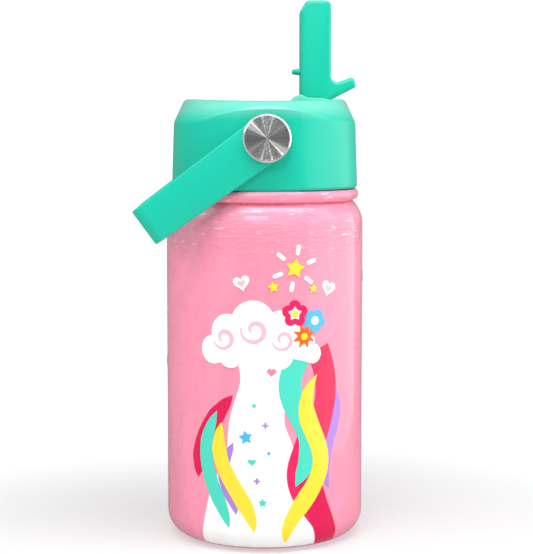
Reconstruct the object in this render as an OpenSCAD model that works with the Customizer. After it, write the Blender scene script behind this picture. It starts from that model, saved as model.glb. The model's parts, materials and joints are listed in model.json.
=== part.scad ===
// Kids water bottle: double-wall steel body, screw lid with flip spout, straw and swinging handle.
// Origin at the centre of the base, +Z up, buttons at -Y and +Y, spout on the +X side.

/* [Body] */
// Outer diameter of the painted shell
body_d = 73; // [66:0.5:90]
// Height of the straight wall's upper end
wall_top = 115.7; // [95:0.1:150]
// Radius of the rounded foot of the shell
foot_r = 8.5; // [5:0.1:10]
// Radius of the shoulder's curve
shoulder_r = 12; // [11:0.1:13]
// Radius of the rolled bead under the lid
bead_r = 1.7; // [1.4:0.05:2]
// Height of the neck above the bead
neck_h = 12.15; // [10:0.05:16]
// Wall of the outer shell
shell_t = 0.6; // [0.5:0.05:0.8]
// Wall of the inner liner
liner_t = 0.5; // [0.4:0.05:0.7]
// Vacuum gap between shell and liner at the side
vacuum_gap = 3.4; // [2:0.1:5]
// Height of the liner's underside above the ground
liner_z = 7; // [5:0.1:10]

/* [Thread] */
// Height of a thread ridge above the neck
thread_h = 1.2; // [0.8:0.05:1.2]
// Distance between two ridges
thread_pitch = 3.6; // [3:0.1:3.6]
// Clear space between neck ridges and lid ridges
thread_gap = 0.2; // [0.15:0.05:0.3]

/* [Lid] */
// Height of the lid
lid_h = 32.8; // [31.5:0.1:42]
// Setback of the lid's lower edge from the bead's edge
lid_inset = 0.45; // [0.2:0.05:1]
// Lean of the lid's wall, measured at the top of the wall
lid_draft = 0.8; // [0:0.1:1.5]
// Height of the bevel round the top
bevel_h = 7.5; // [5:0.1:8]
// Run of the bevel towards the axis
bevel_w = 4; // [2:0.1:4.5]
// Depth of the dip along the top
dip = 1.1; // [0.5:0.1:1.5]
// Depth of the two flats that carry the handle
flat_cut = 1.9; // [1.6:0.1:2.2]
// Wall of the lid
lid_t = 2.2; // [1.8:0.1:2.4]
// Wall of the lid's skirt at the flats
skirt_t = 1.3; // [1.1:0.1:2]
// Wall of the threaded insert
insert_t = 1.2; // [1:0.05:1.8]
// Thickness of the insert's deck
deck_t = 1.8; // [1.5:0.1:2.2]
// Thickness of the gasket
gasket_t = 1.5; // [1.2:0.1:2]

/* [Spout] */
// Thickness of the spout along the fold
spout_t = 11.1; // [9:0.1:12]
// Width of the spout across the fold
spout_w = 15; // [12:0.1:19]
// Distance from the lid's top edge to the spout's hinge
hinge_inset = 11; // [10:0.1:13]
// Distance from the lid's top edge to the folded spout's mouth
mouth_inset = 6; // [4:0.1:12]
// Radius of the flow passage
flow_r = 2; // [1.5:0.1:2.2]
// Radius of the hinge pins
spout_pin_r = 1.5; // [1:0.1:1.8]
// Rise of the finger lever in degrees
lever_tilt = 24; // [18:1:32]
// Reach of the finger lever beyond the spout
lever_l = 9.7; // [7:0.1:11]
// Distance from the hinge to the vent peg
peg_l = 16.5; // [14:0.1:18]

/* [Straw] */
// Outer diameter of the straw
straw_d = 7.6; // [6.2:0.1:9.2]
// Wall of the straw
straw_t = 1; // [0.6:0.1:1.2]
// Clear space under the straw's foot
straw_clear = 2; // [1.5:0.1:8]

/* [Handle] */
// Gap between the resting grip and the body's side
grip_gap = 0.9; // [0.5:0.05:3]
// Width of an arm at the pivot
arm_w = 16.4; // [12:0.1:17]
// Width of the grip at the far end
grip_w = 14; // [10:0.1:14]
// Thickness of the arms
arm_t = 2.6; // [2:0.1:3.2]
// Thickness of the grip
grip_t = 2; // [1.8:0.1:3]
// Hang of the resting handle below level, in degrees
hang = 36.2; // [30:0.1:36.5]
// Diameter of the metal button caps
cap_d = 17; // [14:0.1:20.5]
// Thickness of a button cap
cap_t = 2.4; // [1.8:0.1:3]
// Radius of the shoulder that the handle turns on
post_r = 3.5; // [2.9:0.1:4.2]

/* [Fits] */
// Radial clearance of a turning fit
run_gap = 0.05; // [0.02:0.01:0.1]
// Clearance between parts that pass each other
pass_gap = 0.35; // [0.3:0.05:0.5]
// Gap under the lid, and on each side of the gasket
seat_gap = 0.05; // [0.02:0.01:0.1]

/* [Hidden] */
$fn = 96;
eps = 0.01;

// Heights, from the ground up
body_r = body_d / 2;
shoulder_sweep = 48;
groove_r = body_r - shoulder_r * (1 - cos(shoulder_sweep));
bead_c = [groove_r + 0.67, wall_top + shoulder_r * sin(shoulder_sweep) + 2.53];
bead_top = bead_c[1] + bead_r;
rim_z = bead_top + neck_h;

// Radii from the lid's wall inwards to the neck
lid_r = bead_c[0] + bead_r - lid_inset;
flat_y = lid_r - flat_cut;
insert_r = flat_y - skirt_t;
bore_r = insert_r - insert_t;
neck_r = bore_r - 0.6 - thread_gap - thread_h;

// Shell, liner and base
liner_r = body_r - shell_t - vacuum_gap;
liner_neck_r = neck_r - shell_t;
liner_top = wall_top - 5.7;
base_r = body_r - foot_r;
base_t = 0.8;
base_dish = 0.9;
dish_r = base_r - 5;

// Lid heights and radii
lid_z = bead_top + 3 * seat_gap;
lid_top = lid_z + lid_h;
wall_z = lid_top - bevel_h;
deck_z = rim_z + gasket_t + 2 * seat_gap;
deck_top = deck_z + deck_t;
hinge_z = lid_top - 6.5;
top_r = lid_r - lid_draft - bevel_w;
spout_x = top_r - hinge_inset;
spout_l = spout_x + top_r - mouth_inset;
floor_top = hinge_z - spout_t / 2 - pass_gap;
floor_z = floor_top - 1.8;
slot_w = spout_w + 2 * pass_gap;
slot_x0 = spout_x - spout_l - 0.6;
slot_x1 = spout_x + spout_t / 2 + pass_gap;
vent_x = spout_x - peg_l;
dip_r = (top_r * top_r + dip * dip) / (2 * dip);
peg_r = 1.25;
vent_r = 4.2;
boss_t = 1.6;
straw_r = straw_d / 2;
stem_r = straw_r - straw_t;
seal_r = stem_r + 1.6;

// Handle pivot, from the flat outwards
insert_d = 4.8;
pivot_z = deck_top + insert_d / 2 + 0.8;
washer_t = 0.4;
arm_y = flat_y + washer_t + 2 * run_gap;
cap_y = arm_y + arm_t + 0.15;
post_l = cap_y - flat_y;

// Reach of the grip's inner face: it clears the body's side at rest, and the spout's tip when upright
tip_r = norm([spout_l, spout_t / 2]) + pass_gap;
reach_rest = (body_r + grip_gap + grip_w / 2 * sin(hang)) / cos(hang);
reach_up = hinge_z - pivot_z + sqrt(pow(tip_r, 2) - pow(spout_x - grip_w / 2, 2));
reach = max(reach_rest, reach_up);
handle_l = reach + grip_t;

function arc(c, r, from, to, n) =
    [for (i = [0 : n]) let (a = from + (to - from) * i / n) [c[0] + r * cos(a), c[1] + r * sin(a)]];

// Turns a shape made along +Z so that it points along +Y or, with side -1, along -Y
module outward(side) {
    rotate([-90 * side, 0, 0]) children();
}

module ring(outer, inner, h) {
    difference() {
        cylinder(r = outer, h = h);
        translate([0, 0, -eps]) cylinder(r = inner, h = h + 2 * eps);
    }
}

// Outline of the shell from its foot to the end of the shoulder, moved inwards by t
function shell_outline(t) = concat(
    arc([base_r, foot_r], foot_r - t, -90, 0, 10),
    arc([body_r - shoulder_r, wall_top], shoulder_r - t, 0, shoulder_sweep, 8));

module ridge(z, root, crest) {
    rotate_extrude()
        polygon([[root, z - 1.1], [crest, z - 0.45], [crest, z + 0.45], [root, z + 1.1]]);
}

module outer_shell() {
    color("pink") {
        rotate_extrude() difference() {
            polygon(concat([[neck_r - shell_t, 0]], shell_outline(0), arc(bead_c, bead_r, -120, 90, 12),
                [[neck_r, bead_top], [neck_r, rim_z - liner_t], [neck_r - shell_t, rim_z - liner_t]]));
            polygon(concat([[0, shell_t]], shell_outline(shell_t),
                [[groove_r - shell_t, bead_c[1] - bead_r / 2]],
                arc(bead_c, bead_r - shell_t, -50, 90, 8),
                [[neck_r - shell_t, bead_top - shell_t], [0, bead_top - shell_t]]));
            translate([0, -1]) square([base_r, shell_t + 2]);
        }
        for (i = [0 : 2]) ridge(bead_top + 2.4 + i * thread_pitch, neck_r - 0.3, neck_r + thread_h);
    }
}

// Outline of the liner from the middle of its floor to the rim, moved inwards by t
function liner_outline(t) = concat(
    [[0, liner_z + t]],
    arc([liner_r - 6, liner_z + 6], 6 - t, -90, 0, 8),
    arc([liner_r - 6, liner_top], 6 - t, 0, 50, 5),
    [[liner_neck_r - t, liner_top + 12]]);

module inner_liner() {
    color("silver") rotate_extrude() difference() {
        union() {
            polygon(concat(liner_outline(0), [[liner_neck_r, rim_z], [0, rim_z]]));
            translate([0, rim_z - liner_t]) square([neck_r, liner_t]);
        }
        polygon(concat(liner_outline(liner_t),
            [[liner_neck_r - liner_t, rim_z + 1], [0, rim_z + 1]]));
    }
}

// Steel disc that closes the shell, dished so that only its edge stands on the ground
module base_plate() {
    color("silver") rotate_extrude() polygon([[0, base_dish], [dish_r - 1, base_dish], [dish_r, 0],
        [base_r, 0], [base_r, base_t], [dish_r + 0.4, base_t], [dish_r - 0.6, base_dish + base_t],
        [2, base_dish + base_t], [2, base_dish + 0.4], [0, base_dish + 0.4]]);
}

// Glass bead that seals the evacuation hole
module vacuum_bead() {
    color("gray") translate([0, 0, base_dish + 0.4]) cylinder(r = 2, h = 1.2);
}

// Gas-absorbing pellet in its cup, under the liner
module getter_cup() {
    color("dimgray") translate([12, 0, liner_z - 1.6]) cylinder(r = 5, h = 1.6);
}

module lid_gasket() {
    color("white") translate([0, 0, rim_z + seat_gap]) ring(neck_r + 1.2, neck_r - 1.8, gasket_t);
}

// Outline of the lid seen from the side, from the axis outwards, moved inwards by t
function lid_outline(t) = let (steep = 0.5 * t) [
    [0, lid_top - t],
    [top_r - steep, lid_top - t],
    [lid_r - lid_draft - t, wall_z - steep],
    [lid_r - t, lid_z]];

module lid_body() {
    difference() {
        intersection() {
            rotate_extrude() polygon(concat(lid_outline(0), [[0, lid_z]]));
            translate([-lid_r, -flat_y, 0]) cube([2 * lid_r, 2 * flat_y, lid_top]);
        }
        translate([0, 0, lid_top - dip + dip_r]) outward(1)
            cylinder(r = dip_r, h = 3 * lid_r, center = true, $fn = 360);
    }
}

module lid_cavity() {
    translate([0, 0, lid_z - 1]) cylinder(r = insert_r, h = deck_top - lid_z + 1);
    intersection() {
        rotate_extrude() polygon(concat(lid_outline(lid_t + 0.4 + dip), [[0, deck_top - eps]]));
        translate([-lid_r, lid_t - flat_y, deck_top - eps])
            cube([2 * lid_r, 2 * (flat_y - lid_t), lid_h]);
    }
}

// Boss that hangs from the slot's floor down to the insert's deck
module floor_boss(x, hole_r) {
    translate([x, 0, deck_top]) cylinder(r = hole_r + boss_t, h = floor_z - deck_top + eps);
}

module floor_hole(x, hole_r) {
    translate([x, 0, deck_top - 1]) cylinder(r = hole_r, h = floor_top - deck_top + 2);
}

// Low cheeks on both sides of the spout's root, ramped towards the slot
module cheeks() {
    for (side = [-1, 1])
        translate([0, side * (slot_w / 2 + 1) + 1, lid_top])
            rotate([90, 0, 0]) linear_extrude(2)
                polygon([[slot_x1 + 2, -3], [slot_x1, 0.4], [slot_x1 - 3, 1.1], [13, 1.1],
                    [10.8, -0.6], [10.8, -3]]);
}

module lid_shell() {
    color("turquoise") difference() {
        union() {
            difference() {
                lid_body();
                lid_cavity();
            }
            intersection() {
                lid_body();
                translate([slot_x0 - lid_t, -slot_w / 2 - lid_t, floor_z])
                    cube([slot_x1 - slot_x0 + 2 * lid_t, slot_w + 2 * lid_t, lid_h]);
            }
            cheeks();
            floor_boss(spout_x, seal_r);
            floor_boss(vent_x, vent_r);
            for (side = [-1, 1]) translate([0, side * (flat_y - 7), pivot_z]) outward(side)
                cylinder(r = insert_d / 2 + 0.8, h = 6);
        }
        translate([slot_x0, -slot_w / 2, floor_top]) cube([slot_x1 - slot_x0, slot_w, lid_h]);
        floor_hole(spout_x, seal_r);
        floor_hole(vent_x, vent_r);
        for (side = [-1, 1]) {
            translate([0, side * (flat_y - 6), pivot_z]) outward(side)
                cylinder(r = insert_d / 2, h = 7);
            translate([spout_x, side * (slot_w / 2 - 1), hinge_z]) outward(side)
                cylinder(r = spout_pin_r, h = 4);
        }
    }
}

module lid_insert() {
    color("white") {
        difference() {
            translate([0, 0, lid_z + 0.4]) cylinder(r = insert_r, h = deck_top - lid_z - 0.4);
            translate([0, 0, lid_z]) cylinder(r = bore_r, h = deck_z - lid_z);
            translate([spout_x, 0, deck_z - 1]) cylinder(r = stem_r, h = deck_t + 2);
            translate([spout_x, 0, deck_z + 0.6]) cylinder(r = stem_r + 1.3, h = deck_t);
            translate([vent_x, 0, deck_z - 1]) cylinder(r = 1, h = deck_t + 2);
        }
        for (i = [0 : 1])
            ridge(bead_top + 2.4 + (i + 0.5) * thread_pitch, bore_r + 0.3,
                neck_r + thread_h + thread_gap);
    }
}

// Soft funnel that the spout's peg plugs when the spout is folded
module vent_valve() {
    color("white") translate([vent_x, 0, deck_top]) difference() {
        cylinder(r = vent_r, h = floor_top - deck_top);
        translate([0, 0, 2]) cylinder(r1 = peg_r + 0.25, r2 = 2.9, h = floor_top - deck_top - 2 + eps);
        translate([0, 0, -1]) cylinder(r = 0.6, h = 4);
    }
}

module spout_seal() {
    seal_z = floor_top - 2.1;
    color("white") translate([spout_x, 0, seal_z]) difference() {
        union() {
            cylinder(r = seal_r, h = 2.1);
            cylinder(r = flow_r + 1, h = 2.1 + pass_gap - 0.15);
        }
        translate([0, 0, -1]) cylinder(r = flow_r, h = 5);
    }
}

// Nozzle between the seal and the straw
module straw_stem() {
    color("white") translate([spout_x, 0, 0]) difference() {
        union() {
            translate([0, 0, deck_top]) cylinder(r = seal_r, h = floor_top - 2.1 - deck_top);
            translate([0, 0, rim_z - 5]) cylinder(r = stem_r, h = deck_top - rim_z + 5);
        }
        translate([0, 0, rim_z - 6]) cylinder(r = flow_r, h = floor_top - rim_z + 6);
    }
}

module stem_ring() {
    color("white") translate([spout_x, 0, deck_z + 1.2]) rotate_extrude()
        translate([stem_r + 0.65, 0]) circle(r = 0.6, $fn = 32);
}

module straw() {
    foot_z = liner_z + liner_t + straw_clear;
    color("white") translate([spout_x, 0, foot_z]) difference() {
        ring(straw_r, stem_r, deck_z - 1.1 - foot_z);
        translate([0, 0, -straw_r]) rotate([0, -30, 0]) translate([-20, -20, -20])
            cube([40, 40, 20]);
    }
}

// Two stub pins, held in the lid and turning in the spout
module spout_pins() {
    color("silver") for (side = [-1, 1])
        translate([spout_x, side * (spout_w / 2 - 3), hinge_z]) outward(side)
            cylinder(r = spout_pin_r, h = 3 + pass_gap + 2);
}

module brass_insert(side) {
    color("gold") translate([0, side * (flat_y - 6), pivot_z]) outward(side)
        ring(insert_d / 2, 1.5, 6);
}

module insert_front() {
    brass_insert(-1);
}

module insert_back() {
    brass_insert(1);
}

// Shoulder screw that the handle turns on
module post(side) {
    color("silver") translate([0, side * flat_y, pivot_z]) outward(side) {
        cylinder(r = post_r, h = post_l);
        translate([0, 0, -5]) cylinder(r = 1.5, h = 5 + eps);
        cylinder(r = 2, h = post_l + 1.2);
    }
}

module post_front() {
    post(-1);
}

module post_back() {
    post(1);
}

module washer(side) {
    color("white") translate([0, side * flat_y, pivot_z]) outward(side)
        ring(arm_w / 2 - 1.2, post_r, washer_t);
}

module washer_front() {
    washer(-1);
}

module washer_back() {
    washer(1);
}

// Round metal cap with a bevelled edge, pressed on the shoulder screw
module button_cap(side) {
    color("silver") translate([0, side * cap_y, pivot_z]) outward(side) rotate_extrude()
        polygon([[0, 1.2], [2, 1.2], [2, 0], [cap_d / 2, 0], [cap_d / 2, cap_t - 0.8],
            [cap_d / 2 - 0.8, cap_t], [cap_d / 2 - 1.2, cap_t - 0.15], [0, cap_t - 0.15]]);
}

module cap_front() {
    button_cap(-1);
}

module cap_back() {
    button_cap(1);
}

// Rectangle with round corners, from two bars and four discs
module rounded(w, h, r) {
    square([w - 2 * r, h], center = true);
    square([w, h - 2 * r], center = true);
    for (x = [-1, 1], y = [-1, 1])
        translate([x * (w / 2 - r), y * (h / 2 - r)]) circle(r = r, $fn = 32);
}

// Side view of the finger lever, measured from the hinge
module lever() {
    tip = [spout_t / 2 + lever_l * cos(lever_tilt), 11.3 + lever_l * sin(lever_tilt) - 2.9];
    rotate([90, 0, 0]) linear_extrude(spout_w - 2, center = true)
        polygon([[spout_t / 2 - 2, 6.1], [spout_t / 2, 6.3], tip + [0.35, -1.3], tip + [0.6, -0.6],
            tip + [-0.65, 1.95], tip + [-1.4, 2.05], [spout_t / 2 + 2.6, 12.4],
            [spout_t / 2 + 0.8, 12.6], [spout_t / 2 - 2, 13.9]]);
}

module spout() {
    color("turquoise") translate([spout_x, 0, hinge_z]) difference() {
        union() {
            intersection() {
                linear_extrude(spout_l) rounded(spout_t, spout_w, 1.3);
                rotate([90, 0, 0]) linear_extrude(spout_w + 2, center = true)
                    polygon([[-spout_t / 2 - 1, -1], [-spout_t / 2 - 1, spout_l - 3.6],
                        [-spout_t / 2, spout_l - 3.6], [2.3 - spout_t / 2, spout_l],
                        [spout_t / 2 + 1, spout_l], [spout_t / 2 + 1, -1]]);
            }
            rotate([90, 0, 0]) cylinder(r = spout_t / 2, h = spout_w, center = true);
            lever();
            translate([-spout_t / 2, 0, peg_l]) rotate([0, -90, 0])
                translate([0, 0, -1]) cylinder(r1 = peg_r + 0.1, r2 = 0.95, h = 4);
        }
        translate([0, 0, -spout_t]) cylinder(r = flow_r, h = spout_l + 2 * spout_t);
        translate([0, 0, spout_l - 12]) cylinder(r = 2.8, h = 13);
        for (side = [-1, 1]) translate([0, side * (spout_w / 2 - 3.1), 0]) outward(side)
            cylinder(r = spout_pin_r + run_gap, h = 4);
    }
}

// U-shaped strap seen from above: x runs along the arms, y across the bottle
module strap_plan(half, end, r) {
    translate([-arm_w, -half]) square([arm_w + end - r, 2 * half]);
    translate([-arm_w, -half + r]) square([arm_w + end, 2 * (half - r)]);
    for (side = [-1, 1]) translate([end - r, side * (half - r)]) circle(r = r, $fn = 48);
}

module handle() {
    root = arm_w / 2 - 0.15;
    color("turquoise") translate([0, 0, pivot_z]) rotate([0, 180 - hang, 0]) difference() {
        union() {
            intersection() {
                linear_extrude(2 * arm_w, center = true) difference() {
                    strap_plan(arm_y + arm_t, handle_l, 4);
                    strap_plan(arm_y, reach, 1.8);
                }
                rotate([90, 0, 0]) linear_extrude(4 * arm_y, center = true)
                    polygon([[0, root], [handle_l, grip_w / 2], [handle_l, -grip_w / 2], [0, -root]]);
            }
            for (side = [-1, 1]) translate([0, side * arm_y, 0]) outward(side)
                cylinder(r = arm_w / 2, h = arm_t);
        }
        rotate([90, 0, 0]) cylinder(r = post_r + run_gap, h = 4 * arm_y, center = true);
    }
}

outer_shell();
inner_liner();
base_plate();
vacuum_bead();
getter_cup();
lid_gasket();
lid_shell();
lid_insert();
vent_valve();
spout_seal();
straw_stem();
stem_ring();
straw();
spout_pins();
insert_front();
insert_back();
post_front();
post_back();
washer_front();
washer_back();
cap_front();
cap_back();
spout();
handle();
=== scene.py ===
import bmesh
import bpy
import json
import math
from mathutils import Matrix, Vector


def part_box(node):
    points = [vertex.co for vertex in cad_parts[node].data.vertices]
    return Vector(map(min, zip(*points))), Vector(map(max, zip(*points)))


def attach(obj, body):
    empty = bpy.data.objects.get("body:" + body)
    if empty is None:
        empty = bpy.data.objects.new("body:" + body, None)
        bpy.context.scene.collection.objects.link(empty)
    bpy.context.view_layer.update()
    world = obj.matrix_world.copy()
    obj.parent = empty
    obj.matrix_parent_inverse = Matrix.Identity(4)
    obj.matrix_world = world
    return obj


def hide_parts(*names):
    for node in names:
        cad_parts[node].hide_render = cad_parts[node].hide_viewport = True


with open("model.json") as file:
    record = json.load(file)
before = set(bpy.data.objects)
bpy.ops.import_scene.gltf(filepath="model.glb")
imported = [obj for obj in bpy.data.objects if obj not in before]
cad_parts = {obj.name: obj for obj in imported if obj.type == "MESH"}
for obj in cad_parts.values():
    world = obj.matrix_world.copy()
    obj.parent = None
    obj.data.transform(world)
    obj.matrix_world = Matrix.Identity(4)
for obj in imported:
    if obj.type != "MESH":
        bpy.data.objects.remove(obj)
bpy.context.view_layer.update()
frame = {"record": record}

mm = 0.001  # pieces are made in millimetres, and finishPiece scales them into the frame's metres
joints = {j["name"]: j for j in frame["record"]["behaviour"]["joints"]}
spoutHinge = Vector(joints["spout_flip"]["pos_m"]) / mm
handlePivot = Vector(joints["handle_swing"]["pos_m"]) / mm
hingeDepth = 6.5  # the spout's hinge lies this far below the lid's top
lidTop = spoutHinge.z + hingeDepth


def boxOf(node):
    low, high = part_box(node)
    return Vector(low) / mm, Vector(high) / mm


def deselect():
    if bpy.context.object and bpy.context.object.mode != "OBJECT":
        bpy.ops.object.mode_set(mode="OBJECT")
    bpy.ops.object.select_all(action="DESELECT")


def activate(piece):
    deselect()
    piece.select_set(True)
    bpy.context.view_layer.objects.active = piece


def editAll(piece):
    activate(piece)
    bpy.ops.object.mode_set(mode="EDIT")
    bpy.ops.mesh.select_mode(type="VERT")
    bpy.ops.mesh.select_all(action="SELECT")


def applyModifiers(piece):
    activate(piece)
    for modifier in list(piece.modifiers):
        bpy.ops.object.modifier_apply(modifier=modifier.name)


def arc(cx, cz, radius, start, stop, steps):
    turns = [math.radians(start + (stop - start) * i / steps) for i in range(steps + 1)]
    return [(cx + radius * math.cos(a), cz + radius * math.sin(a)) for a in turns]


def corner(before, point, after, radius, steps):
    # points of a rounded corner, from its two tangent points
    a, p, b = Vector(before), Vector(point), Vector(after)
    first, second = (a - p).normalized(), (b - p).normalized()
    half = first.angle(second) / 2
    centre = p + (first + second).normalized() * (radius / math.sin(half))
    start = p + first * (radius / math.tan(half)) - centre
    stop = p + second * (radius / math.tan(half)) - centre
    points = []
    for i in range(steps + 1):
        spoke = start.lerp(stop, i / steps).normalized() * radius
        points.append(tuple(centre + spoke))
    return points


def spinPiece(name, outline, steps):
    # a side outline is drawn point by point and spun round the bottle's axis
    deselect()
    bpy.ops.mesh.primitive_plane_add(size=1, location=(0, 0, 0))
    piece = bpy.context.object
    piece.name = name
    bpy.ops.object.mode_set(mode="EDIT")
    bpy.ops.mesh.select_all(action="SELECT")
    bpy.ops.mesh.merge(type="CENTER")
    bpy.ops.transform.translate(value=(outline[0][0], 0, outline[0][1]))
    for (r0, z0), (r1, z1) in zip(outline, outline[1:]):
        step = {"value": (r1 - r0, 0, z1 - z0)}
        bpy.ops.mesh.extrude_vertices_move(TRANSFORM_OT_translate=step)
    bpy.ops.mesh.select_all(action="SELECT")
    bpy.ops.mesh.spin(steps=steps, angle=math.tau, center=(0, 0, 0), axis=(0, 0, 1))
    bpy.ops.mesh.select_all(action="SELECT")
    bpy.ops.mesh.remove_doubles(threshold=0.0005)
    bpy.ops.mesh.normals_make_consistent(inside=False)
    bpy.ops.object.mode_set(mode="OBJECT")
    return piece


def platePiece(name, outline, y0, y1):
    # a disc's rim is laid along the outline in the XZ plane, and the face is pulled out into a plate
    deselect()
    bpy.ops.mesh.primitive_circle_add(vertices=len(outline), radius=1, fill_type="NGON")
    piece = bpy.context.object
    piece.name = name
    for vertex, (x, z) in zip(piece.data.vertices, outline):
        vertex.co = (x, y0, z)
    editAll(piece)
    bpy.ops.mesh.extrude_region_move(TRANSFORM_OT_translate={"value": (0, y1 - y0, 0)})
    bpy.ops.mesh.select_all(action="SELECT")
    bpy.ops.mesh.normals_make_consistent(inside=False)
    bpy.ops.object.mode_set(mode="OBJECT")
    return piece


def loftPiece(name, rings):
    # a disc's rim is laid on the first ring, then pulled out and laid on each next one
    deselect()
    bpy.ops.mesh.primitive_circle_add(vertices=len(rings[0]), radius=1, fill_type="NGON")
    piece = bpy.context.object
    piece.name = name
    for vertex, point in zip(piece.data.vertices, rings[0]):
        vertex.co = point
    editAll(piece)
    for last, ring in zip(rings, rings[1:]):
        bpy.ops.mesh.extrude_region_move()
        mesh = bmesh.from_edit_mesh(piece.data)
        for vertex in [v for v in mesh.verts if v.select]:
            old = min(range(len(last)), key=lambda i: (Vector(last[i]) - vertex.co).length)
            vertex.co = ring[old]
        bmesh.update_edit_mesh(piece.data)
    bpy.ops.mesh.select_all(action="SELECT")
    bpy.ops.mesh.normals_make_consistent(inside=False)
    bpy.ops.object.mode_set(mode="OBJECT")
    return piece


def rod(name, radius, start, stop, sides=64):
    # a straight round bar between two points, used on its own or as a drill
    start, stop = Vector(start), Vector(stop)
    deselect()
    bpy.ops.mesh.primitive_cylinder_add(vertices=sides, radius=radius, depth=(stop - start).length,
        location=(start + stop) / 2, rotation=(stop - start).to_track_quat("Z", "Y").to_euler())
    bpy.ops.object.transform_apply(location=True, rotation=True, scale=True)
    bpy.context.object.name = name
    return bpy.context.object


def combine(piece, other, how="DIFFERENCE"):
    modifier = piece.modifiers.new("combine", "BOOLEAN")
    modifier.operation = how
    modifier.solver = "EXACT"
    modifier.object = other
    applyModifiers(piece)
    bpy.data.objects.remove(other)
    return piece


def roundEdges(piece, width, segments=3, angle=35):
    modifier = piece.modifiers.new("edges", "BEVEL")
    modifier.limit_method = "ANGLE"
    modifier.angle_limit = math.radians(angle)
    modifier.width = width
    modifier.segments = segments
    modifier.use_clamp_overlap = False
    applyModifiers(piece)
    return piece


def finishPiece(piece, body, material, nodes=(), angle=40):
    # scales the piece into the frame, shades it and hands it to its body
    activate(piece)
    for vertex in piece.data.vertices:
        vertex.co *= mm
    piece.data.update()
    bpy.ops.object.shade_smooth_by_angle(angle=math.radians(angle))
    piece.data.materials.clear()
    piece.data.materials.append(material)
    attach(piece, body)
    if nodes:
        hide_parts(*nodes)
    return piece


class Wire:
    # an output socket that can be used in sums
    def __init__(self, paint, socket):
        self.paint = paint
        self.socket = socket

    def calc(self, operation, first, second):
        return self.paint.node("ShaderNodeMath", {"operation": operation}, {0: first, 1: second})

    def __add__(self, other):
        return self.calc("ADD", self, other)

    def __sub__(self, other):
        return self.calc("SUBTRACT", self, other)

    def __rsub__(self, other):
        return self.calc("SUBTRACT", other, self)

    def __mul__(self, other):
        return self.calc("MULTIPLY", self, other)

    def __truediv__(self, other):
        return self.calc("DIVIDE", self, other)

    def __rtruediv__(self, other):
        return self.calc("DIVIDE", other, self)

    def __pow__(self, other):
        return self.calc("POWER", self, other)

    __radd__ = __add__
    __rmul__ = __mul__


class Paint:
    # one material and its nodes
    def __init__(self, name, **constants):
        self.material = bpy.data.materials.new(name)
        self.material.use_nodes = True
        self.tree = self.material.node_tree
        self.shader = self.tree.nodes["Principled BSDF"]
        for socket, value in constants.items():
            self.shader.inputs[socket.replace("_", " ")].default_value = value

    def node(self, kind, settings=None, inputs=None, output=0):
        made = self.tree.nodes.new(kind)
        for key, value in (settings or {}).items():
            if key == "stops":
                self.setStops(made.color_ramp.elements, value)
            else:
                setattr(made, key, value)
        for key, value in (inputs or {}).items():
            self.feed(value, made.inputs[key])
        return Wire(self, made.outputs[output])

    def setStops(self, elements, stops):
        while len(elements) < len(stops):
            elements.new(0.5)
        for element, (position, colour) in zip(elements, stops):
            element.position = position
            element.color = colour

    def feed(self, value, socket):
        if isinstance(value, Wire):
            self.tree.links.new(value.socket, socket)
        else:
            socket.default_value = value

    def place(self, scale=(1, 1, 1), location=(0, 0, 0)):
        spot = self.node("ShaderNodeTexCoord", output=3)  # Object coordinates
        return self.node("ShaderNodeMapping", None, {"Vector": spot, "Location": location, "Scale": scale})

    def along(self, axis, where):
        return self.node("ShaderNodeSeparateXYZ", None, {"Vector": where}, "XYZ".index(axis))

    def rise(self, value, low, high):
        # 0 up to low, 1 from high on, and smooth between them
        return self.node("ShaderNodeMapRange", {"interpolation_type": "SMOOTHSTEP"},
            {"Value": value, "From Min": low, "From Max": high})

    def noise(self, where, scale, detail=3.0, roughness=0.5, distortion=0.0):
        return self.node("ShaderNodeTexNoise", None, {"Vector": where, "Scale": scale,
            "Detail": detail, "Roughness": roughness, "Distortion": distortion})

    def mix(self, factor, first, second):
        return self.node("ShaderNodeMix", {"data_type": "RGBA"}, {0: factor, 6: first, 7: second}, 2)

    def ramp(self, value, *stops):
        grey = [(place, (level, level, level, 1)) for place, level in stops]
        return self.node("ShaderNodeValToRGB", {"stops": grey}, {"Fac": value})

    def bump(self, height, strength, distance):
        normal = self.node("ShaderNodeBump", None,
            {"Height": height, "Strength": strength, "Distance": distance})
        self.feed(normal, self.shader.inputs["Normal"])

    def set(self, **links):
        for socket, value in links.items():
            self.feed(value, self.shader.inputs[socket.replace("_", " ")])
        return self.material


def rgb(red, green, blue):
    # a colour as a paint card gives it, 0 to 255, turned into light
    def light(level):
        level /= 255
        return level / 12.92 if level <= 0.04045 else ((level + 0.055) / 1.055) ** 2.4
    return (light(red), light(green), light(blue), 1.0)


def shade(colour, amount):
    return tuple(c * amount for c in colour[:3]) + (1.0,)


coatSizes = {"rippleFrom": 100.0, "rippleTo": 114.0}  # heights on the wall in millimetres


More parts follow.
